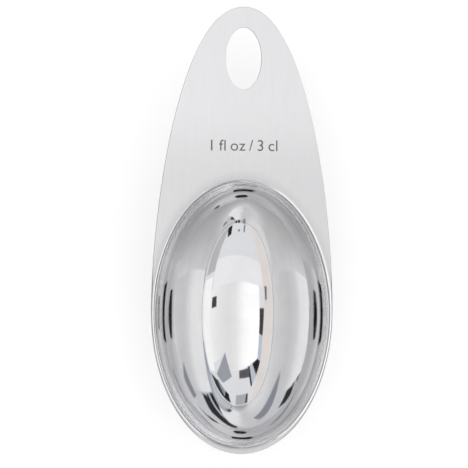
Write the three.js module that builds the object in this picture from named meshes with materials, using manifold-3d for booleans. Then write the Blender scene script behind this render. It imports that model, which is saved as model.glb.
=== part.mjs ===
// Coffee scoop: a flat stamped handle plate with an oval hanging hole, a deep-drawn oval bowl under
// the mouth of the plate, and the weld seam between the two.
// Millimetres. Z is up out of the mouth, Y runs along the handle to its tip, and the origin is on
// the ground under the middle of the scoop.
import * as THREE from 'three';
import { mergeVertices, toCreasedNormals } from 'three/addons/utils/BufferGeometryUtils.js';
import Module from 'manifold-3d';

const wasm = await Module();
wasm.setup();

// Mouth and bowl
const mouthWidth = 41; // between the inner walls, where they roll out into the plate
const mouthLength = 62.3;
const bowlDepth = 23; // inside, from the top face of the plate
const wallLean = 8; // degrees that the walls lean out of upright, beside the middle of the mouth
const plateSheet = 0.9; // thickness of the stamped plate
const bowlSheet = 0.7; // wall of the drawn bowl, thinner than the plate
const drawRadius = 1.3; // radius of the top face where it rolls down into the mouth
const collarHeight = 2; // from the top face of the plate to the lower edge of the collar

// Plate round the mouth and out to the tip of the handle
const scoopLength = 106;
const sideLip = 1.1; // from the inner wall to the edge of the plate beside the mouth
const endLip = 1.9; // the same at the bowl end
const widestAhead = 0.5; // the plate is widest this far ahead of the middle of the mouth
const flankPull = 24.5; // how far the flanks lean on the widest line before they curve to the tip
const tipPull = 15.2; // how far the curve of the tip stays level on each side
const edgeRound = 0.2; // rounding of the trimmed edges

// Weld between collar and bowl
const seamHeight = 0.4;
const seamCrown = 0.1; // how far the bead stands out of the collar, outside only

// Hanging hole
const holeWidth = 8.5;
const holeLength = 14.8;
const holeFromTip = 4.9; // steel left between the hole and the tip

// Fineness of the curved faces
const roundSteps = 72;
const domeSteps = 16;
const rollSteps = 5;

// Places that follow from the sizes
const tip = scoopLength / 2;
const plateTop = bowlDepth + bowlSheet;
const collarBottom = plateTop - collarHeight;
const seamBottom = collarBottom - seamHeight;
const lean = THREE.MathUtils.degToRad(wallLean);
const rollCentre = plateTop - drawRadius;
const rollBottom = rollCentre + drawRadius * Math.sin(lean);
const halfMouthWidth = mouthWidth / 2;
const halfMouthLength = mouthLength / 2;
const halfScoopWidth = halfMouthWidth + sideLip;
const mouthCentre = -tip + endLip + halfMouthLength;
const widest = mouthCentre + widestAhead;
const holeCentre = tip - holeFromTip - holeLength / 2;

// A closed three.js geometry as a solid that can be joined and cut
function solidFrom(geometry) {
  geometry.deleteAttribute('normal');
  geometry.deleteAttribute('uv');
  const welded = mergeVertices(geometry);
  const corners = welded.index.array;
  const triVerts = [];
  for (let i = 0; i < corners.length; i += 3) {
    const [a, b, c] = corners.slice(i, i + 3);
    if (a !== b && b !== c && c !== a) triVerts.push(a, b, c);
  }
  return new wasm.Manifold(new wasm.Mesh({
    numProp: 3,
    vertProperties: new Float32Array(welded.attributes.position.array),
    triVerts: new Uint32Array(triVerts),
  }));
}

// A finished solid as a named mesh
function pieceMesh(name, solid, material) {
  const { vertProperties, triVerts } = solid.getMesh();
  const geometry = new THREE.BufferGeometry();
  geometry.setAttribute('position', new THREE.BufferAttribute(vertProperties, 3));
  geometry.setIndex(new THREE.BufferAttribute(triVerts, 1));
  const mesh = new THREE.Mesh(toCreasedNormals(geometry, Math.PI / 6), material);
  mesh.name = name;
  return mesh;
}

// A closed profile turned about Z
function turned(profile) {
  return new THREE.LatheGeometry(profile, roundSteps).rotateX(Math.PI / 2);
}

// An oval hole or outline as a path
function oval(width, length, centreY) {
  return new THREE.Path().absellipse(0, centreY, width / 2, length / 2, 0, 2 * Math.PI);
}

// Points of an arc in a section, from one angle to another
function arc(centreX, centreZ, radius, from, to) {
  const curve = new THREE.EllipseCurve(centreX, centreZ, radius, radius, from, to, to < from);
  return curve.getPoints(rollSteps);
}

// Share of the mouth's oval that the leaning walls leave at a height
function wallShare(z) {
  return 1 - Math.max(rollBottom - z, 0) * Math.tan(lean) / halfMouthWidth;
}

// Cap of an ellipsoid hanging under z = 0, with a straight neck up to its flat top
function dome(halfWidth, halfLength, depth, neck) {
  const cap = new THREE.EllipseCurve(0, 0, 1, 1, -Math.PI / 2, domeArc - Math.PI / 2);
  const profile = cap.getPoints(domeSteps);
  const rim = profile[domeSteps].clone();
  for (const p of profile) p.set(p.x / rim.x, (p.y - rim.y) / (1 + rim.y));
  profile[0].x = 0;
  if (neck > 0) profile.push(new THREE.Vector2(1, neck / depth));
  profile.push(new THREE.Vector2(0, neck / depth));
  return turned(profile).scale(halfWidth, halfLength, depth);
}

// A ring of one section laid round the mouth. The section's x is the distance out from the leaning
// inner wall, so the section keeps its size all round the oval.
function mouthRing(section) {
  const turnRadius = scoopLength;
  const profile = section.map((p) => new THREE.Vector2(turnRadius + p.x, p.y));
  const ring = turned([...profile, profile[0].clone()]);
  const place = ring.attributes.position;
  for (let i = 0; i < place.count; i++) {
    const angle = Math.atan2(place.getY(i), place.getX(i));
    const out = Math.hypot(place.getX(i), place.getY(i)) - turnRadius;
    const wall = new THREE.Vector2(halfMouthWidth * Math.cos(angle), halfMouthLength * Math.sin(angle));
    wall.multiplyScalar(wallShare(place.getZ(i)));
    const normal = new THREE.Vector2(Math.cos(angle) / halfMouthWidth, Math.sin(angle) / halfMouthLength);
    wall.addScaledVector(normal.normalize(), out);
    place.setXY(i, wall.x, wall.y);
  }
  return ring;
}

// Outline of the plate: half an ellipse round the bowl end, one long curve up each flank to the tip
function plateOutline() {
  const outline = new THREE.Shape();
  outline.moveTo(-halfScoopWidth, widest);
  outline.absellipse(0, widest, halfScoopWidth, widest + tip, Math.PI, 2 * Math.PI);
  outline.bezierCurveTo(halfScoopWidth, widest + flankPull, tipPull, tip, 0, tip);
  outline.bezierCurveTo(-tipPull, tip, -halfScoopWidth, widest + flankPull, -halfScoopWidth, widest);
  return outline;
}

// Flat sheet of a shape with rounded edges, its top face at z = top
function roundedSheet(shape, thickness, top) {
  const sheetGeometry = new THREE.ExtrudeGeometry(shape, {
    depth: thickness - 2 * edgeRound,
    bevelThickness: edgeRound,
    bevelSize: edgeRound,
    bevelOffset: -edgeRound,
    bevelSegments: 2,
    curveSegments: roundSteps / 2,
  });
  return sheetGeometry.translate(0, 0, top - thickness + edgeRound);
}

// Handle plate: the mouth's edge is rolled down into a collar, joined to the flat strip round it,
// and the strip is trimmed to the outline
const rollLap = drawRadius + 2 * plateSheet;
const rollOut = drawRadius * Math.cos(lean);
const rolledRim = mouthRing([
  new THREE.Vector2(0, collarBottom),
  new THREE.Vector2(plateSheet, collarBottom),
  ...arc(rollOut, rollCentre, drawRadius - plateSheet, Math.PI - lean, Math.PI / 2),
  new THREE.Vector2(rollLap, plateTop - plateSheet),
  new THREE.Vector2(rollLap, plateTop),
  ...arc(rollOut, rollCentre, drawRadius, Math.PI / 2, Math.PI - lean),
]).translate(0, mouthCentre, 0);

const stripCut = 2 * (drawRadius + plateSheet);
const strip = new THREE.Shape();
strip.moveTo(-mouthLength, -scoopLength);
strip.lineTo(mouthLength, -scoopLength);
strip.lineTo(mouthLength, scoopLength);
strip.lineTo(-mouthLength, scoopLength);
strip.closePath();
strip.holes.push(oval(mouthWidth + stripCut, mouthLength + stripCut, mouthCentre));
strip.holes.push(oval(holeWidth, holeLength, holeCentre));

const trim = solidFrom(roundedSheet(plateOutline(), plateTop, plateTop));
const plateSolid = solidFrom(roundedSheet(strip, plateSheet, plateTop)).add(solidFrom(rolledRim)).intersect(trim);

// Bowl: outer dome less inner dome, both with their rims on the seam. The arc of the domes is the one
// that leaves the walls leaning at the rim.
const domeDepth = bowlDepth - collarHeight - seamHeight;
const rimShare = wallShare(seamBottom);
const rimWidth = halfMouthWidth * rimShare;
const rimLength = halfMouthLength * rimShare;
const domeArc = Math.acos(1 / (rimWidth / (domeDepth * Math.tan(lean)) - 1));
const outerDome = dome(rimWidth + bowlSheet, rimLength + bowlSheet, domeDepth + bowlSheet, 0);
const innerDome = dome(rimWidth, rimLength, domeDepth, collarHeight);
const bowlSolid = solidFrom(outerDome).subtract(solidFrom(innerDome)).translate(0, 0, seamBottom);

// Weld seam: flush inside, slightly crowned outside
const seamSolid = solidFrom(mouthRing([
  new THREE.Vector2(0, seamBottom),
  new THREE.Vector2(bowlSheet, seamBottom),
  new THREE.Vector2(plateSheet + seamCrown, seamBottom + seamHeight / 2),
  new THREE.Vector2(plateSheet, collarBottom),
  new THREE.Vector2(0, collarBottom),
]));

const brushedSteel = new THREE.MeshStandardMaterial({ color: 0xd6d6d8, roughness: 0.38, metalness: 1 });
const polishedSteel = new THREE.MeshStandardMaterial({ color: 0xe2e2e4, roughness: 0.06, metalness: 1 });
const dressedWeld = new THREE.MeshStandardMaterial({ color: 0xc4c4c6, roughness: 0.3, metalness: 1 });

const scoop = new THREE.Group();
scoop.name = 'coffee_scoop';
scoop.add(pieceMesh('handle_plate', plateSolid, brushedSteel));

const underMouth = new THREE.Group();
underMouth.position.set(0, mouthCentre, 0);
underMouth.add(pieceMesh('seam_weld', seamSolid, dressedWeld));
underMouth.add(pieceMesh('bowl', bowlSolid, polishedSteel));
scoop.add(underMouth);

export default scoop;
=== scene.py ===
import math
import bpy
import bmesh
from mathutils import Matrix, Vector
from mathutils.geometry import interpolate_bezier


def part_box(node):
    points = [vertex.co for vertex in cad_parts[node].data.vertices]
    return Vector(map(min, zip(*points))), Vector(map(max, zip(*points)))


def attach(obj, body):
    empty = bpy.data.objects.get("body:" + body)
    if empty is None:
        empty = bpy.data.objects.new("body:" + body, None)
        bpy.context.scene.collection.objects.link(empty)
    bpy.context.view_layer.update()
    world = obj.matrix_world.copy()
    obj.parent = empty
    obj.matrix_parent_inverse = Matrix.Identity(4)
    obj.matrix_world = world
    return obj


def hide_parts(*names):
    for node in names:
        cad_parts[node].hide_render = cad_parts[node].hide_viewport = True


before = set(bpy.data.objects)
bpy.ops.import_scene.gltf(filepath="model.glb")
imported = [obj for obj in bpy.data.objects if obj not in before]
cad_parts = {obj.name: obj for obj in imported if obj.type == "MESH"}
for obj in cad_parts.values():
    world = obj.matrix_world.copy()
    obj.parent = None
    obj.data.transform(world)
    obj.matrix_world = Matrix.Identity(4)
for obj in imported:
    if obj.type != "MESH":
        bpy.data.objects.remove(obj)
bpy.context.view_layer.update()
plateLow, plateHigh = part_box("handle_plate")
bowlLow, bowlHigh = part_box("bowl")
weldLow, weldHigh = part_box("seam_weld")
scene = bpy.context.scene
print("frame loaded")

# sizes are metres, and what the CAD boxes hold is read from them
mouth = {"wall": 0.0007, "lean": math.radians(8), "roll": 0.0013, "turns": 384, "domeSteps": 96}
mouth["rimHalfWidth"] = bowlHigh[0] - mouth["wall"]
mouth["rimHalfLength"] = (bowlHigh[1] - bowlLow[1]) / 2 - mouth["wall"]
mouth["middle"] = (bowlHigh[1] + bowlLow[1]) / 2
mouth["rollFoot"] = plateHigh[2] - mouth["roll"] * (1 - math.sin(mouth["lean"]))
mouth["halfWidth"] = mouth["rimHalfWidth"] + (mouth["rollFoot"] - bowlHigh[2]) * math.tan(mouth["lean"])
mouth["halfLength"] = mouth["rimHalfLength"] * mouth["halfWidth"] / mouth["rimHalfWidth"]

# edges past the sharp angle stay crisp, and faces past the level share are shaded flat
shading = {"sharp": math.radians(25), "level": 0.99999}


# small helpers

def newObject(name, bm, material):
    bmesh.ops.recalc_face_normals(bm, faces=bm.faces)
    mesh = bpy.data.meshes.new(name)
    bm.to_mesh(mesh)
    bm.free()
    mesh.materials.append(material)
    mesh.polygons.foreach_set("use_smooth", [True] * len(mesh.polygons))
    mesh.set_sharp_from_angle(angle=shading["sharp"])
    thing = bpy.data.objects.new(name, mesh)
    scene.collection.objects.link(thing)
    return thing


def bakedMesh(thing):
    depsgraph = bpy.context.evaluated_depsgraph_get()
    return bpy.data.meshes.new_from_object(thing.evaluated_get(depsgraph))


def cutOut(thing, cutter):
    cut = thing.modifiers.new("cut", "BOOLEAN")
    cut.operation = "DIFFERENCE"
    cut.solver = "EXACT"
    cut.material_mode = "TRANSFER"
    cut.object = cutter
    mesh = bakedMesh(thing)
    thing.modifiers.clear()
    thing.data = mesh
    bpy.data.objects.remove(cutter)


def settleShading(thing):
    # level faces are shaded flat, so that cuts through them leave no smears
    for face in thing.data.polygons:
        face.use_smooth = abs(face.normal.z) < shading["level"]
    thing.data.set_sharp_from_angle(angle=shading["sharp"])


def startRing(bm, turns, place):
    # a circle whose vertices remember their number round the ring
    number = bm.verts.layers.int.new("number")
    made = bmesh.ops.create_circle(bm, segments=turns, radius=1, cap_ends=False)["verts"]
    for vert in made:
        angle = math.atan2(vert.co.y, vert.co.x) % (2 * math.pi)
        vert[number] = round(angle / (2 * math.pi) * turns) % turns
    for vert in made:
        vert.co = place(vert[number])
    return list({edge for vert in made for edge in vert.link_edges})


def nextRing(bm, ring, place):
    number = bm.verts.layers.int["number"]
    made = bmesh.ops.extrude_edge_only(bm, edges=ring)["geom"]
    for item in made:
        if isinstance(item, bmesh.types.BMVert):
            item.co = place(item[number])
    return [item for item in made if isinstance(item, bmesh.types.BMEdge) and item.is_boundary]


def ovalPoint(halfWidth, halfLength, middle, number, turns, out, z):
    # a point at the distance out from an oval wall
    angle = 2 * math.pi * number / turns
    x, y = math.cos(angle), math.sin(angle)
    away = Vector((x / halfWidth, y / halfLength, 0)).normalized()
    return Vector((halfWidth * x, middle + halfLength * y, z)) + away * out


def mouthPoint(number, out, z):
    # the walls lean out, so the oval grows up to the foot of the roll
    share = 1 - max(mouth["rollFoot"] - z, 0) * math.tan(mouth["lean"]) / mouth["halfWidth"]
    halfWidth, halfLength = mouth["halfWidth"] * share, mouth["halfLength"] * share
    return ovalPoint(halfWidth, halfLength, mouth["middle"], number, mouth["turns"], out, z)


def quarterTurn(steps):
    return [math.pi / 2 * step / steps for step in range(steps + 1)]


# node helpers

class nodeMaker:
    def __init__(self, tree):
        self.tree = tree

    def add(self, kind, **settings):
        node = self.tree.nodes.new(kind)
        for name, value in settings.items():
            setattr(node, name, value)
        return node

    def join(self, source, target):
        self.tree.links.new(source, target)

    def split(self, vector):
        node = self.add("ShaderNodeSeparateXYZ")
        self.join(vector, node.inputs[0])
        return node.outputs

    def math(self, operation, first, second=None, clamp=False):
        node = self.add("ShaderNodeMath", operation=operation, use_clamp=clamp)
        for socket, value in zip(node.inputs, (first, second)):
            if value is None:
                continue
            if isinstance(value, (int, float)):
                socket.default_value = value
            else:
                self.join(value, socket)
        return node.outputs[0]

    def length(self, first, second):
        squares = [self.math("MULTIPLY", side, side) for side in (first, second)]
        return self.math("SQRT", self.math("ADD", *squares))

    def remap(self, value, low, high, newLow, newHigh, smooth=True):
        node = self.add("ShaderNodeMapRange", interpolation_type="SMOOTHSTEP" if smooth else "LINEAR")
        self.join(value, node.inputs["Value"])
        for name, number in zip(("From Min", "From Max", "To Min", "To Max"), (low, high, newLow, newHigh)):
            node.inputs[name].default_value = number
        return node.outputs["Result"]

    def around(self, value, low, high, middle, spread):
        return self.remap(value, low, high, middle - spread / 2, middle + spread / 2)

    def noise(self, where, look):
        # the look's stretch draws the pattern out along an axis
        node = self.add("ShaderNodeTexNoise")
        for name in ("Scale", "Detail", "Roughness"):
            node.inputs[name].default_value = look[name.lower()]
        if "stretch" in look:
            drawn = self.add("ShaderNodeVectorMath", operation="MULTIPLY")
            self.join(where, drawn.inputs[0])
            drawn.inputs[1].default_value = look["stretch"]
            where = drawn.outputs[0]
        self.join(where, node.inputs["Vector"])
        return node.outputs["Fac"]

    def seen(self):
        # one where the camera sees the surface, straight or in metal or glass
        path = self.add("ShaderNodeLightPath")
        straight = self.math("MAXIMUM", path.outputs["Is Camera Ray"], path.outputs["Is Glossy Ray"])
        return self.math("MAXIMUM", straight, path.outputs["Is Transmission Ray"])

    def ramp(self, value, stops):
        # stops are pairs of place and height, joined by straight lines
        low, high = stops[0][0], stops[-1][0]
        tallest = max(height for place, height in stops)
        node = self.add("ShaderNodeValToRGB")
        elements = node.color_ramp.elements
        while len(elements) < len(stops):
            elements.new(0.5)
        for element, (place, height) in zip(elements, stops):
            element.position = (place - low) / (high - low)
            element.color = (height / tallest, height / tallest, height / tallest, 1)
        self.join(self.remap(value, low, high, 0, 1, smooth=False), node.inputs["Fac"])
        return self.math("MULTIPLY", node.outputs["Color"], tallest)

    def scaled(self, colour, factor):
        node = self.add("ShaderNodeVectorMath", operation="SCALE")
        self.join(colour, node.inputs[0])
        self.join(factor, node.inputs["Scale"])
        return node.outputs[0]

    def mixColour(self, mask, first, second):
        node = self.add("ShaderNodeMix", data_type="RGBA")
        self.join(mask, node.inputs["Factor"])
        for socket, colour in ((node.inputs[6], first), (node.inputs[7], second)):
            if isinstance(colour, tuple):
                socket.default_value = (*colour, 1)
            else:
                self.join(colour, socket)
        return node.outputs[2]

    def mixValue(self, mask, first, second):
        rest = self.math("MULTIPLY", self.math("SUBTRACT", 1, mask), first)
        return self.math("ADD", rest, self.math("MULTIPLY", mask, second))

    def bump(self, height, strength, distance, normal=None):
        node = self.add("ShaderNodeBump")
        node.inputs["Strength"].default_value = strength
        node.inputs["Distance"].default_value = distance
        self.join(height, node.inputs["Height"])
        if normal is not None:
            self.join(normal, node.inputs["Normal"])
        return node.outputs["Normal"]


lookOutputs = [("Base Color", "NodeSocketColor"), ("Roughness", "NodeSocketFloat"),
               ("Normal", "NodeSocketVector")]


def newGroup(name):
    group = bpy.data.node_groups.new(name, "ShaderNodeTree")
    for outputName, kind in lookOutputs:
        group.interface.new_socket(name=outputName, in_out="OUTPUT", socket_type=kind)
    make = nodeMaker(group)
    return group, make, make.add("NodeGroupOutput")


def newMaterial(name, group, metallic):
    # a Principled surface whose colour, roughness and normal come from one node group
    material = bpy.data.materials.new(name)
    material.use_nodes = True
    make = nodeMaker(material.node_tree)
    shader = material.node_tree.nodes["Principled BSDF"]
    shader.inputs["Metallic"].default_value = metallic
    look = make.add("ShaderNodeGroup", node_tree=group)
    for outputName, kind in lookOutputs:
        make.join(look.outputs[outputName], shader.inputs[outputName])
    return material


# brushed steel of the plate, polished where it rolls into the mouth, with painted shade

brushed = {
    "bright": (0.80, 0.80, 0.81), "dull": (0.745, 0.745, 0.755), "rough": 0.36, "roughSpread": 0.10,
    # lengthwise grain, fine over broad, and clouds in its tone
    "fine": {"scale": 7000, "detail": 3, "roughness": 0.6, "stretch": (1, 0.03, 0.25)},
    "broad": {"scale": 1400, "detail": 2, "roughness": 0.5, "stretch": (1, 0.05, 0.25)},
    "cloud": {"scale": 260, "detail": 4, "roughness": 0.6},
    "fineShare": 0.7, "grainShare": 0.6, "grainRange": (0.3, 0.7), "grain": 0.13, "grainDepth": 0.00003,
    # polish of the roll, which reaches further out beside the mouth than at its ends
    "polishColour": (0.86, 0.86, 0.865), "polishRough": 0.07, "polishSide": 0.0009, "polishEnd": 0.0005,
    "polishTurn": (0.92, 0.995), "polishFade": 0.0002,
    # painted shade: the plate darker along its length towards the bowl, darker round the mouth, and darker on
    # its upright walls at the hole and the outer edge
    "handleShade": 0.885, "handleShadeFrom": 0.031, "handleShadeTo": 0.010, "drawn": 0.84, "mouthShadeReach": 0.0036,
    "wallShade": 0.45, "wallShadeRange": (0.2, 0.8),
}


def brushedGroup():
    group, make, out = newGroup("brushedGrainPaintedShade")
    spot = make.add("ShaderNodeTexCoord")
    where = spot.outputs["Object"]
    fine = make.math("MULTIPLY", make.noise(where, brushed["fine"]), brushed["fineShare"])
    broad = make.math("MULTIPLY", make.noise(where, brushed["broad"]), 1 - brushed["fineShare"])
    grain = make.math("ADD", fine, broad)
    # distance out from the mouth's wall, by way of the oval's own measure
    place = make.split(where)
    across = place["X"]
    along = make.math("SUBTRACT", place["Y"], mouth["middle"])
    oval = make.length(make.math("DIVIDE", across, mouth["halfWidth"]),
                       make.math("DIVIDE", along, mouth["halfLength"]))
    beyond = make.math("SUBTRACT", 1, make.math("DIVIDE", 1, oval))
    fromWall = make.math("MULTIPLY", make.length(across, along), beyond)
    end = make.math("DIVIDE", make.math("ABSOLUTE", along), mouth["halfLength"])
    reach = make.remap(end, *brushed["polishTurn"], brushed["polishSide"], brushed["polishEnd"])
    fade = brushed["polishFade"]
    polish = make.remap(make.math("SUBTRACT", fromWall, reach), -fade, fade, 1, 0)
    lines = make.remap(grain, *brushed["grainRange"], 0, brushed["grainShare"])
    cloud = make.math("MULTIPLY", make.noise(where, brushed["cloud"]), 1 - brushed["grainShare"])
    colour = make.mixColour(make.math("ADD", lines, cloud, clamp=True), brushed["dull"], brushed["bright"])
    # painted shade: the plate darker along its length towards the bowl
    handleShade = make.remap(place["Y"], brushed["handleShadeTo"], brushed["handleShadeFrom"], brushed["handleShade"], 1)
    # painted shade: the plate darker close round the mouth, fading out over the reach
    drawn = make.remap(fromWall, 0, brushed["mouthShadeReach"], brushed["drawn"], 1)
    # painted shade: faces that stand upright, at the hole and the outer edge, darker than the level top
    level = make.math("ABSOLUTE", make.split(spot.outputs["Normal"])["Z"])
    wallShade = make.remap(level, *brushed["wallShadeRange"], brushed["wallShade"], 1)
    colour = make.scaled(colour, make.math("MULTIPLY", make.math("MULTIPLY", handleShade, drawn), wallShade))
    make.join(make.mixColour(polish, colour, brushed["polishColour"]), out.inputs["Base Color"])
    rough = make.around(grain, *brushed["grainRange"], brushed["rough"], brushed["roughSpread"])
    make.join(make.mixValue(polish, rough, brushed["polishRough"]), out.inputs["Roughness"])
    matte = make.math("MULTIPLY", grain, make.math("SUBTRACT", 1, polish))
    make.join(make.bump(matte, brushed["grain"], brushed["grainDepth"]), out.inputs["Normal"])
    return group


# mirror polish inside the bowl, with the faint haze and scratches that polishing leaves, and satin outside

polished = {
    "colour": (0.75, 0.75, 0.755), "rough": 0.035, "roughSpread": 0.03, "roughRange": (0.3, 0.8),
    "haze": (0.71, 0.71, 0.72), "hazeRange": (0.35, 0.75),
    "clouds": {"scale": 160, "detail": 4, "roughness": 0.6},
    "waves": {"scale": 42, "detail": 1, "roughness": 0.4}, "wave": 0.06, "waveDepth": 0.0002,
    "scratches": {"scale": 5200, "detail": 2, "roughness": 0.6, "stretch": (1, 0.08, 0.4)},
    "scratch": 0.006, "scratchDepth": 0.00001, "scratchRough": 0.01,
    "lines": {"scale": 6000, "detail": 3, "roughness": 0.6, "stretch": (0.04, 0.04, 1)},
    "satin": (0.64, 0.64, 0.65), "satinLines": 13, "satinRange": (0.3, 0.7), "satinRough": 0.20,
    "satinSpread": 0.10,
}


def outsideMask(make, spot):
    # one where the surface faces away from the middle of the mouth
    away = make.add("ShaderNodeVectorMath", operation="SUBTRACT")
    make.join(spot.outputs["Object"], away.inputs[0])
    away.inputs[1].default_value = (0, mouth["middle"], bowlHigh[2])
    facing = make.add("ShaderNodeVectorMath", operation="DOT_PRODUCT")
    make.join(spot.outputs["Normal"], facing.inputs[0])
    make.join(away.outputs[0], facing.inputs[1])
    return make.math("GREATER_THAN", facing.outputs["Value"], 0)


def polishedGroup():
    group, make, out = newGroup("mirrorPolish")
    spot = make.add("ShaderNodeTexCoord")
    where = spot.outputs["Object"]
    haze = make.noise(where, polished["clouds"])
    scratch = make.noise(where, polished["scratches"])
    wave = make.noise(where, polished["waves"])
    lines = make.noise(where, polished["lines"])
    outside = outsideMask(make, spot)
    inside = make.math("SUBTRACT", 1, outside)
    hazy = make.remap(haze, *polished["hazeRange"], 0, 1)
    mirror = make.mixColour(hazy, polished["colour"], polished["haze"])
    make.join(make.mixColour(outside, mirror, polished["satin"]), out.inputs["Base Color"])
    rough, satin = polished["rough"], polished["satinRough"]
    hazeRough = make.remap(haze, *polished["roughRange"], rough, rough + polished["roughSpread"])
    mirrorRough = make.math("ADD", hazeRough, make.math("MULTIPLY", scratch, polished["scratchRough"]))
    satinRough = make.remap(lines, *polished["satinRange"], satin, satin + polished["satinSpread"])
    make.join(make.mixValue(outside, mirrorRough, satinRough), out.inputs["Roughness"])
    waved = make.bump(make.math("MULTIPLY", wave, inside), polished["wave"], polished["waveDepth"])
    satinLines = make.math("MULTIPLY", make.math("MULTIPLY", lines, outside), polished["satinLines"])
    marks = make.math("ADD", make.math("MULTIPLY", scratch, inside), satinLines)
    make.join(make.bump(marks, polished["scratch"], polished["scratchDepth"], waved), out.inputs["Normal"])
    return group


# weld under the rim, dressed by hand outside and rubbed smooth inside

weldLook = {
    "bright": (0.46, 0.45, 0.44), "dull": (0.30, 0.295, 0.29), "rough": 0.34, "roughSpread": 0.16,
    "stain": {"scale": 240, "detail": 3, "roughness": 0.6}, "stainRange": (0.35, 0.7),
    "ripples": {"scale": 1800, "detail": 2, "roughness": 0.5, "stretch": (1, 1, 0.2)},
    "rippleRange": (0.3, 0.7), "ripple": 0.25, "rippleDepth": 0.00004,
    "rubbed": (0.30, 0.30, 0.31), "rubbedRough": 0.10,
}


def weldGroup():
    group, make, out = newGroup("dressedBead")
    spot = make.add("ShaderNodeTexCoord")
    where = spot.outputs["Object"]
    outside = outsideMask(make, spot)
    ripple = make.noise(where, weldLook["ripples"])
    stained = make.remap(make.noise(where, weldLook["stain"]), *weldLook["stainRange"], 0, 1)
    dressed = make.mixColour(stained, weldLook["bright"], weldLook["dull"])
    make.join(make.mixColour(outside, weldLook["rubbed"], dressed), out.inputs["Base Color"])
    rough = make.around(ripple, *weldLook["rippleRange"], weldLook["rough"], weldLook["roughSpread"])
    make.join(make.mixValue(outside, weldLook["rubbedRough"], rough), out.inputs["Roughness"])
    raised = make.math("MULTIPLY", ripple, outside)
    make.join(make.bump(raised, weldLook["ripple"], weldLook["rippleDepth"]), out.inputs["Normal"])
    return group


# dull floor of the etched mark

etched = {
    "dark": (0.13, 0.125, 0.125), "light": (0.22, 0.215, 0.215), "rough": 0.62, "roughSpread": 0.2,
    "pits": {"scale": 9000, "detail": 3, "roughness": 0.7}, "pitRange": (0.3, 0.7), "pit": 0.4,
    "pitDepth": 0.00002, "metallic": 0.6,
}


def etchedGroup():
    group, make, out = newGroup("etchedFloor")
    pits = make.noise(make.add("ShaderNodeTexCoord").outputs["Object"], etched["pits"])
    lit = make.remap(pits, *etched["pitRange"], 0, 1)
    make.join(make.mixColour(lit, etched["dark"], etched["light"]), out.inputs["Base Color"])
    rough = make.around(pits, *etched["pitRange"], etched["rough"], etched["roughSpread"])
    make.join(rough, out.inputs["Roughness"])
    make.join(make.bump(pits, etched["pit"], etched["pitDepth"]), out.inputs["Normal"])
    return group


brushedSteel = newMaterial("brushedSteel", brushedGroup(), 1)
polishedSteel = newMaterial("polishedSteel", polishedGroup(), 1)
dressedSteel = newMaterial("dressedSteel", weldGroup(), 1)
etchedSteel = newMaterial("etchedSteel", etchedGroup(), etched["metallic"])
print("materials made")


# bowl: a section of two arcs and the rim between them, spun round and scaled to the ellipsoids

def makeBowl():
    bm = bmesh.new()
    wall = mouth["wall"]
    depth = bowlHigh[2] - bowlLow[2] - wall
    arc = math.acos(1 / (mouth["rimHalfWidth"] / (depth * math.tan(mouth["lean"])) - 1))
    # the skins are spun with radius 1 inside and 2 outside, which tells them apart until they are scaled
    skins = [(1, mouth["domeSteps"], 0), (2, mouth["domeSteps"] // 2, wall)]
    rim = []
    for radius, steps, out in skins:
        start = bmesh.ops.create_vert(bm, co=(radius * math.sin(arc), 0, -radius * math.cos(arc)))["vert"]
        bmesh.ops.spin(bm, geom=start, cent=(0, 0, 0), axis=(0, 1, 0), angle=arc, steps=steps)
        rim += start
    bmesh.ops.contextual_create(bm, geom=rim)
    bmesh.ops.spin(bm, geom=list(bm.verts) + list(bm.edges), cent=(0, 0, 0), axis=(0, 0, 1),
                   angle=2 * math.pi, steps=mouth["turns"], use_merge=True)
    bmesh.ops.remove_doubles(bm, verts=bm.verts, dist=1e-6)
    skinVerts = [[vert for vert in bm.verts if round(vert.co.length) == skin[0]] for skin in skins]
    for verts, (radius, steps, out) in zip(skinVerts, skins):
        bmesh.ops.translate(bm, vec=(0, 0, radius * math.cos(arc)), verts=verts)
        size = Vector(((mouth["rimHalfWidth"] + out) / math.sin(arc),
                       (mouth["rimHalfLength"] + out) / math.sin(arc),
                       (depth + out) / (1 - math.cos(arc))))
        bmesh.ops.scale(bm, vec=size / radius, verts=verts)
    bmesh.ops.translate(bm, vec=(0, mouth["middle"], bowlHigh[2]), verts=bm.verts)
    return newObject("bowlShell", bm, polishedSteel)


bowl = makeBowl()
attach(bowl, "root")
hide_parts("bowl")
print("bowl made", len(bowl.data.polygons))

# plate: one ring after another, from the collar up over the roll, out to the edge and back underneath

plate = {
    "sheet": 0.0009, "widestAhead": 0.0005, "flankPull": 0.0245, "tipPull": 0.0152,
    # roll at the mouth, above and below, kept clear of the edges where the lip is narrow
    "rollSteps": 32, "rollClear": 0.00006, "rollBlend": 0.00012,
    "collarSteps": 6, "collarClear": 0.00004, "collarLeast": 0.00003, "collarBlend": 0.00005,
    # dip beside the roll, full where the lip is wide
    "dip": 0.00005, "dipReach": 0.0024, "dipShare": 0.4, "dipSteps": 8, "dipFrom": 0.002, "dipGrow": 0.004,
    # rounding of the outer edge, above and below, and the narrow land beside each
    "edge": 0.00018, "edgeSteps": 6, "edgeLand": 0.00003,
    "underEdge": 0.00005, "underSteps": 2, "underLand": 0.00002,
}


def outlinePoints():
    turns = mouth["turns"]
    half = plateHigh[0]
    widest = mouth["middle"] + plate["widestAhead"]
    tip = plateHigh[1]
    flank = interpolate_bezier(Vector((half, widest, 0)), Vector((half, widest + plate["flankPull"], 0)),
                               Vector((plate["tipPull"], tip, 0)), Vector((0, tip, 0)), turns // 4 + 1)
    left = [Vector((-p.x, p.y, 0)) for p in reversed(flank)]
    lower = []
    for number in range(turns // 2 + 1, turns):
        angle = 2 * math.pi * number / turns
        lower.append(Vector((half * math.cos(angle), widest + (widest - plateLow[1]) * math.sin(angle), 0)))
    return flank + left[1:] + lower


outline = outlinePoints()


def outlineNormals():
    count = len(outline)
    normals = []
    for number in range(count):
        along = outline[(number + 1) % count] - outline[number - 1]
        normals.append(Vector((along.y, -along.x, 0)).normalized())
    return normals


outward = outlineNormals()


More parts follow.
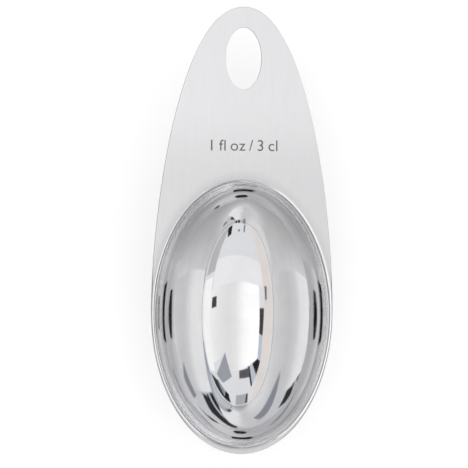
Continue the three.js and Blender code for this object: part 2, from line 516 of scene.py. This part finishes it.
def lipWidths():
    # clear width of plate round the mouth
    widths = []
    for number in range(mouth["turns"]):
        wall = mouthPoint(number, 0, plateHigh[2])
        widths.append(min((wall.xy - p.xy).length for p in outline))
    return widths


lip = lipWidths()


def softMin(first, second, blend):
    gap = max(blend - abs(first - second), 0) / blend
    return min(first, second) - gap * gap * blend / 4


def rollReach(width):
    room = width - plate["edge"] - plate["rollClear"]
    return softMin(mouth["roll"] * math.cos(mouth["lean"]), room, plate["rollBlend"])


def collarReach(width):
    room = width - plate["underEdge"] - plate["sheet"] - plate["collarClear"]
    return softMin(mouth["roll"] - plate["sheet"], max(room, plate["collarLeast"]), plate["collarBlend"])


def edgePoint(number, inset, z):
    point = outline[number] - outward[number] * inset
    return Vector((point.x, point.y, z))


def makePlate():
    bm = bmesh.new()
    top, bottom = plateHigh[2], plateLow[2]
    roll, lean = mouth["roll"], mouth["lean"]
    sheet, edge, under = plate["sheet"], plate["edge"], plate["underEdge"]
    reach = [rollReach(width) for width in lip]
    underReach = [collarReach(width) for width in lip]
    dip = [plate["dip"] * min(max((width - plate["dipFrom"]) / plate["dipGrow"], 0), 1) for width in lip]
    spread = [min(plate["dipReach"], (width - r) * plate["dipShare"]) for width, r in zip(lip, reach)]
    first = startRing(bm, mouth["turns"], lambda n: mouthPoint(n, 0, bottom))
    ring = nextRing(bm, first, lambda n: mouthPoint(n, 0, mouth["rollFoot"] - dip[n]))
    for step in range(1, plate["rollSteps"] + 1):
        angle = lean + (math.pi / 2 - lean) * step / plate["rollSteps"]
        level, rise = 1 - math.cos(angle) / math.cos(lean), math.sin(angle) - 1
        ring = nextRing(bm, ring, lambda n: mouthPoint(n, reach[n] * level, top - dip[n] + roll * rise))
    for step in range(1, plate["dipSteps"] + 1):
        share = step / plate["dipSteps"]
        fade = (1 - share) ** 2
        ring = nextRing(bm, ring, lambda n: mouthPoint(n, reach[n] + spread[n] * share, top - dip[n] * fade))
    ring = nextRing(bm, ring, lambda n: edgePoint(n, edge + plate["edgeLand"], top))
    for angle in quarterTurn(plate["edgeSteps"]):
        inset, drop = 1 - math.sin(angle), 1 - math.cos(angle)
        ring = nextRing(bm, ring, lambda n: edgePoint(n, edge * inset, top - edge * drop))
    for angle in quarterTurn(plate["underSteps"]):
        inset, drop = 1 - math.cos(angle), 1 - math.sin(angle)
        ring = nextRing(bm, ring, lambda n: edgePoint(n, under * inset, top - sheet + under * drop))
    ring = nextRing(bm, ring, lambda n: edgePoint(n, under + plate["underLand"], top - sheet))
    for angle in quarterTurn(plate["collarSteps"]):
        out, drop = 1 - math.sin(angle), 1 - math.cos(angle)
        z = top - sheet - (roll - sheet) * drop
        ring = nextRing(bm, ring, lambda n: mouthPoint(n, sheet + underReach[n] * out, z))
    last = nextRing(bm, ring, lambda n: mouthPoint(n, sheet, bottom))
    bmesh.ops.bridge_loops(bm, edges=first + last)
    return newObject("plateSkin", bm, brushedSteel)


handle = makePlate()
print("plate made", len(handle.data.polygons))

# hanging hole, its edges broken on both faces by the last 60 degrees of a rounding
# flare and shoulder are how far that arc starts out and down, as shares of its radius

hole = {"halfWidth": 0.00425, "halfLength": 0.0074, "fromTip": 0.0049, "turns": 128, "round": 0.00016,
        "arc": (60, 40, 20, 0), "flare": 0.5, "shoulder": 0.134, "overrun": 0.001}


def makeHoleCutter():
    bm = bmesh.new()
    middle = plateHigh[1] - hole["fromTip"] - hole["halfLength"]
    top, bottom, soft = plateHigh[2], plateHigh[2] - plate["sheet"], hole["round"]
    flare, shoulder = soft * hole["flare"], soft * hole["shoulder"]

    def place(out, z):
        return lambda n: ovalPoint(hole["halfWidth"], hole["halfLength"], middle, n, hole["turns"], out, z)

    steps = [math.radians(a) for a in hole["arc"]]
    lower = [(soft * (1 - math.cos(a)), bottom + soft * (1 - math.sin(a)) - shoulder) for a in steps]
    upper = [(soft * (1 - math.cos(a)), top - soft * (1 - math.sin(a)) + shoulder) for a in reversed(steps)]
    section = [(flare, bottom - hole["overrun"]), *lower, *upper, (flare, top + hole["overrun"])]
    first = startRing(bm, hole["turns"], place(*section[0]))
    ring = first
    for out, z in section[1:]:
        ring = nextRing(bm, ring, place(out, z))
    bmesh.ops.edgeloop_fill(bm, edges=first)
    bmesh.ops.edgeloop_fill(bm, edges=ring)
    return newObject("holeCutter", bm, brushedSteel)


cutOut(handle, makeHoleCutter())
print("hole cut")

# plain capacity mark, etched a little way into the handle; a figure's height is a share of the type's size

mark = {"words": "1 fl oz / 3 cl", "height": 0.0026, "heightShare": 0.7, "fromTip": 0.0329, "depth": 0.00006,
        "spacing": 1.05, "wordGap": 0.6, "curveSteps": 6}


def makeMarkCutter():
    words = bpy.data.curves.new("capacityMark", "FONT")
    words.body = mark["words"]
    words.align_x = "CENTER"
    words.size = mark["height"] / mark["heightShare"]
    words.space_character = mark["spacing"]
    words.space_word = mark["wordGap"]
    words.extrude = mark["depth"]
    words.resolution_u = mark["curveSteps"]
    typed = bpy.data.objects.new("capacityMark", words)
    scene.collection.objects.link(typed)
    mesh = bakedMesh(typed)
    bpy.data.objects.remove(typed)
    bm = bmesh.new()
    bm.from_mesh(mesh)
    bmesh.ops.remove_doubles(bm, verts=bm.verts, dist=1e-7)
    foot = plateHigh[1] - mark["fromTip"] - mark["height"] / 2
    bmesh.ops.translate(bm, vec=(0, foot, plateHigh[2]), verts=bm.verts)
    return newObject("markCutter", bm, etchedSteel)


cutOut(handle, makeMarkCutter())
settleShading(handle)
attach(handle, "root")
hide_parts("handle_plate")
print("mark etched", len(handle.data.polygons))

# weld bead between collar and bowl, flush inside and crowned outside

bead = {"crown": 0.0001, "steps": 6}


def makeBead():
    bm = bmesh.new()
    low, high = weldLow[2], weldHigh[2]
    inner, outer = mouth["wall"], plate["sheet"]
    first = startRing(bm, mouth["turns"], lambda n: mouthPoint(n, 0, high))
    ring = nextRing(bm, first, lambda n: mouthPoint(n, 0, low))
    for step in range(bead["steps"] + 1):
        share = step / bead["steps"]
        # the lower half widens from the bowl's wall to the plate's sheet
        out = inner + (outer - inner) * min(share * 2, 1) + bead["crown"] * math.sin(math.pi * share)
        ring = nextRing(bm, ring, lambda n: mouthPoint(n, out, low + (high - low) * share))
    bmesh.ops.bridge_loops(bm, edges=first + ring)
    return newObject("weldBead", bm, dressedSteel)


weld = makeBead()
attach(weld, "root")
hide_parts("seam_weld")
print("weld made")

# studio: pale floor, and cards hung overhead that the polished bowl mirrors, each a gap under the one before

studio = {"hang": 0.36, "gap": 0.0008, "world": 0.78, "bounces": 24}

# each card has its corners as slopes from the scoop: across and along, over the height that it hangs at
cards = [
    ("tentRoof", (0.95, 0.96, 0.98), [(-3.6, -3.6), (3.6, -3.6), (3.6, 3.6), (-3.6, 3.6)]),
    ("warmWall", (0.97, 0.90, 0.86), [(-1.7, -3.5), (-0.96, -3.5), (-0.96, 3.5), (-1.7, 3.5)]),
    ("rightWall", (0.62, 0.62, 0.64), [(0.88, -0.7), (3.4, -0.7), (3.4, -3.4), (0.75, -3.4), (0.78, -1.7)]),
    ("ceilingNear", (1.08, 1.08, 1.09), [(-1.0, -0.95), (0.86, -0.95), (0.86, -0.35), (-1.0, -0.45)]),
    ("nearShade", None, [(-1.6, -3.5), (1.6, -3.5), (1.6, -0.45), (-1.6, -0.45)]),
    ("softBox", None, [(-0.80, -0.43), (-0.12, -0.43), (0.9, -0.36), (1.5, 1.1), (0.85, 1.15), (0.38, 0.57),
                       (0.25, 0.90), (-0.06, 0.88), (-0.83, 0.74)]),
    ("rightGlow", (1.20, 1.20, 1.20), [(0.92, -0.6), (1.9, -0.6), (1.9, 1.3), (1.0, 1.1)]),
    ("greyWedge", (0.42, 0.44, 0.49), [(0.20, 1.05), (0.37, 0.52), (0.95, 1.16), (0.70, 1.40)]),
    ("blackWedge", (0.02, 0.02, 0.025), [(-1.0, 0.85), (-0.83, 0.73), (-0.60, 0.79), (-0.90, 1.22)]),
    ("lampBack", (0.05, 0.05, 0.06), [(-0.64, 0.86), (-0.20, 0.88), (-0.20, 1.25), (-0.70, 1.30)]),
    ("blueCard", (0.67, 0.73, 0.80), [(-0.60, 0.79), (-0.47, 0.83), (-0.76, 1.58), (-0.90, 1.22)]),
    ("boomArm", (0.03, 0.03, 0.035), [(-0.50, 0.83), (-0.42, 0.83), (-0.70, 1.62), (-0.78, 1.60)]),
    ("lampBox", (0.13, 0.13, 0.14), [(-0.49, 0.86), (-0.10, 0.88), (-0.10, 1.12), (-0.54, 1.15)]),
    ("sideUpper", (0.65, 0.71, 0.80), [(-0.98, 0.32), (-0.80, 0.28), (-0.82, 0.74), (-1.0, 0.84)]),
    ("sideDark", (0.07, 0.07, 0.08), [(-1.02, -0.10), (-0.80, -0.09), (-0.80, 0.28), (-0.98, 0.34)]),
    ("sideLower", (0.98, 0.98, 1.03), [(-1.08, -0.44), (-0.80, -0.46), (-0.80, -0.09), (-1.02, -0.10)]),
    ("leftBlock", (0.20, 0.19, 0.19), [(-1.25, -0.50), (-1.10, -0.48), (-1.10, -0.24), (-1.20, -0.24)]),
    ("rightBlock", (0.07, 0.07, 0.08), [(0.65, -0.25), (0.85, -0.24), (0.86, -0.08), (0.64, -0.10)]),
    ("farWall", (0.54, 0.54, 0.55), [(-0.5, 2.0), (0.1, 2.0), (0.3, 3.5), (-0.6, 3.5)]),
    ("farPost", (0.08, 0.075, 0.07), [(-0.60, 2.0), (-0.50, 2.02), (-0.56, 3.4), (-0.78, 3.4)]),
    ("farBlack", (0.02, 0.02, 0.03), [(0.55, 2.0), (0.70, 1.80), (1.0, 2.55), (0.95, 3.4), (0.66, 3.4)]),
    ("farScreen", (0.34, 0.36, 0.40), [(0.72, 1.80), (0.95, 1.35), (1.4, 1.5), (1.6, 3.0), (1.0, 2.55)]),
    ("sideCurtain", (0.05, 0.055, 0.065), [(1.02, 1.40), (1.45, 1.25), (1.50, 2.1), (1.10, 3.2), (0.94, 3.2),
                                           (0.94, 2.2)]),
    ("nearBlack", (0.03, 0.03, 0.03), [(0.45, -2.0), (0.62, -1.80), (0.80, -2.5), (0.95, -3.4),
                                       (0.62, -3.4)]),
    ("nearPost", (0.24, 0.23, 0.23), [(-0.36, -2.2), (-0.28, -2.2), (-0.38, -3.3), (-0.50, -3.3)]),
    ("nearSpot", (0.28, 0.28, 0.28), [(-0.05, -2.2), (0.08, -2.2), (0.09, -2.45), (-0.06, -2.45)]),
    ("cameraLens", (0.02, 0.02, 0.025), [(-0.27, -0.06), (-0.20, -0.20), (0.0, -0.20), (0.08, -0.06),
                                         (0.08, 0.07), (0.0, 0.20), (-0.20, 0.20), (-0.27, 0.07)]),
    ("cameraBody", (0.02, 0.02, 0.025), [(-0.27, -0.25), (0.17, -0.25), (0.17, 0.22), (-0.27, 0.22)]),
    ("cameraGrip", (0.02, 0.02, 0.025), [(-0.27, -0.14), (0.17, -0.14), (0.17, 0.12), (-0.27, 0.12)]),
]

# light of the cards without a colour, over their slope: the soft box across, and the shade along
fades = {
    "softBox": ("X", [(-0.80, 1.38), (-0.45, 1.36), (-0.25, 1.30), (-0.10, 1.15), (0.0, 1.04), (0.20, 0.98),
                      (0.50, 1.02), (0.90, 1.14), (1.30, 1.22)]),
    "nearShade": ("Y", [(-3.5, 0.60), (-1.3, 0.64), (-1.0, 0.72), (-0.75, 0.84), (-0.45, 1.06)]),
}

# what the cards gain where a ray has gone from wall to wall many times and lost most of its light
lateGain = {"from": 3.5, "to": 6, "gain": 2.0}

# reflections, first and last, in which a card is seen where it isn't seen in all of them
seenIn = {
    "nearShade": (2, studio["bounces"]), "lampBack": (2, 2),
    "warmWall": (1, 1), "lampBox": (1, 1), "sideCurtain": (1, 1), "rightBlock": (1, 1),
    "cameraLens": (3, 3), "cameraBody": (4, 4), "cameraGrip": (6, 7),
}


def cardMaterial(name, colour, hang):
    material = bpy.data.materials.new(name)
    material.use_nodes = True
    make = nodeMaker(material.node_tree)
    surface = material.node_tree.nodes["Material Output"].inputs["Surface"]
    glow = make.add("ShaderNodeEmission")
    depth = make.add("ShaderNodeLightPath").outputs["Ray Depth"]
    late = make.remap(depth, lateGain["from"], lateGain["to"], 1, lateGain["gain"])
    if colour:
        glow.inputs["Color"].default_value = (*colour, 1)
        make.join(late, glow.inputs["Strength"])
    else:
        axis, stops = fades[name]
        spot = make.split(make.add("ShaderNodeTexCoord").outputs["Object"])[axis]
        place = make.math("SUBTRACT", spot, mouth["middle"] if axis == "Y" else 0)
        fade = make.ramp(make.math("DIVIDE", place, hang), stops)
        make.join(make.math("MULTIPLY", fade, late), glow.inputs["Strength"])
    if name not in seenIn:
        make.join(glow.outputs[0], surface)
        return material
    first, last = seenIn[name]
    seen = make.math("MULTIPLY", make.math("GREATER_THAN", depth, first - 0.5),
                     make.math("LESS_THAN", depth, last + 0.5))
    either = make.add("ShaderNodeMixShader")
    make.join(seen, either.inputs[0])
    make.join(make.add("ShaderNodeBsdfTransparent").outputs[0], either.inputs[1])
    make.join(glow.outputs[0], either.inputs[2])
    make.join(either.outputs[0], surface)
    return material


def hiddenCard(name, bm, materials):
    # lights the scoop and shows in it, but not to the camera
    mesh = bpy.data.meshes.new(name)
    bm.to_mesh(mesh)
    bm.free()
    for material in materials:
        mesh.materials.append(material)
    card = bpy.data.objects.new(name, mesh)
    card.visible_camera = False
    scene.collection.objects.link(card)
    return card


def hangCards():
    for count, (name, colour, corners) in enumerate(cards):
        hang = studio["hang"] - count * studio["gap"]
        high = plateHigh[2] + hang
        bm = bmesh.new()
        verts = [bm.verts.new((x * hang, mouth["middle"] + y * hang, high)) for x, y in corners]
        bmesh.ops.contextual_create(bm, geom=verts)
        card = hiddenCard(name, bm, [cardMaterial(name, colour, hang)])


# flags that stand low on each side and draw the dark line inside the rim
flags = {"left": -0.80, "right": 0.80, "near": -1.30, "far": 1.30, "bottom": 0.10, "blue": 1.02,
         "tones": {"left": 0.05, "right": 0.12, "near": 0.30, "far": 0.16}}


def standFlags():
    bm = bmesh.new()
    bmesh.ops.create_cube(bm, size=1)
    ends = [face for face in bm.faces if abs(face.normal.z) > 0.5]
    bmesh.ops.delete(bm, geom=ends, context="FACES_ONLY")
    sides = {"left": (-1, 0, 0), "right": (1, 0, 0), "near": (0, -1, 0), "far": (0, 1, 0)}
    for face in bm.faces:
        facing = [face.normal.dot(Vector(way)) > 0.5 for way in sides.values()]
        face.material_index = facing.index(True)
    tall = plateHigh[2] + studio["hang"] - flags["bottom"]
    size = (flags["right"] - flags["left"], flags["far"] - flags["near"], tall)
    bmesh.ops.scale(bm, vec=size, verts=bm.verts)
    bmesh.ops.translate(bm, vec=(0, 0, flags["bottom"] + tall / 2), verts=bm.verts)
    materials = []
    for side in sides:
        tone = flags["tones"][side]
        materials.append(cardMaterial(side + "Flag", (tone, tone, tone * flags["blue"]), studio["hang"]))
    ring = hiddenCard("sideFlags", bm, materials)


paleFloor = {"reach": 4, "level": 0.82, "fleck": 0.99, "paper": {"scale": 900, "detail": 3, "roughness": 0.6},
             "rough": 0.9, "sheen": 0.1, "glow": 0.38}


def layFloor():
    bm = bmesh.new()
    bmesh.ops.create_grid(bm, x_segments=2, y_segments=2, size=paleFloor["reach"])
    material = bpy.data.materials.new("paleFloor")
    material.use_nodes = True
    shader = material.node_tree.nodes["Principled BSDF"]
    make = nodeMaker(material.node_tree)
    paper = make.noise(make.add("ShaderNodeTexCoord").outputs["Object"], paleFloor["paper"])
    level = paleFloor["level"]
    fleck = level * paleFloor["fleck"]
    colour = make.mixColour(paper, (level, level, level), (fleck, fleck, fleck))
    make.join(colour, shader.inputs["Base Color"])
    shader.inputs["Roughness"].default_value = paleFloor["rough"]
    shader.inputs["Specular IOR Level"].default_value = paleFloor["sheen"]
    # white to the camera and in the metal, while the light on the scoop stays as it is
    shader.inputs["Emission Color"].default_value = (1, 1, 1, 1)
    make.join(make.math("MULTIPLY", make.seen(), paleFloor["glow"]), shader.inputs["Emission Strength"])
    floor = newObject("paleFloor", bm, material)


def lightWorld():
    world = bpy.data.worlds.new("studioAir")
    world.use_nodes = True
    air = world.node_tree.nodes["Background"]
    make = nodeMaker(world.node_tree)
    air.inputs["Color"].default_value = (1, 1, 1, 1)
    make.join(make.remap(make.seen(), 0, 1, studio["world"], 1, smooth=False), air.inputs["Strength"])
    scene.world = world


hangCards()
standFlags()
layFloor()
lightWorld()
scene.cycles.max_bounces = studio["bounces"]
scene.cycles.glossy_bounces = studio["bounces"]
scene.view_settings.view_transform = "Standard"
print("studio lit")

# camera nearly straight above
# the middle of the frame is given in pixels from the middle of the scoop, and the angles are degrees

shot = {"pixelSize": 0.00023683, "frame": 468, "middleX": -8.7, "middleY": -4.0, "turn": 0.5,
        "fromLeft": 6.0, "fromEnd": 1.3, "distance": 0.95, "sensor": 36, "clipEnd": 10}


def placeCamera():
    camera = bpy.data.cameras.new("overhead")
    camera.sensor_width = shot["sensor"]
    camera.lens = shot["sensor"] * shot["distance"] / (shot["frame"] * shot["pixelSize"])
    camera.clip_end = shot["clipEnd"]
    eye = bpy.data.objects.new("overhead", camera)
    turn, fromLeft, fromEnd = [math.radians(shot[angle]) for angle in ("turn", "fromLeft", "fromEnd")]
    right, up = shot["middleX"] * shot["pixelSize"], shot["middleY"] * shot["pixelSize"]
    target = Vector((right * math.cos(turn) - up * math.sin(turn),
                     right * math.sin(turn) + up * math.cos(turn), plateHigh[2]))
    back = Vector((-math.tan(fromLeft), -math.tan(fromEnd), 1)).normalized()
    level = Vector((math.cos(turn), math.sin(turn), 0))
    upward = back.cross(level).normalized()
    across = upward.cross(back)
    eye.matrix_world = Matrix((across, upward, back)).transposed().to_4x4()
    eye.location = target + back * shot["distance"]
    scene.collection.objects.link(eye)
    scene.camera = eye


placeCamera()
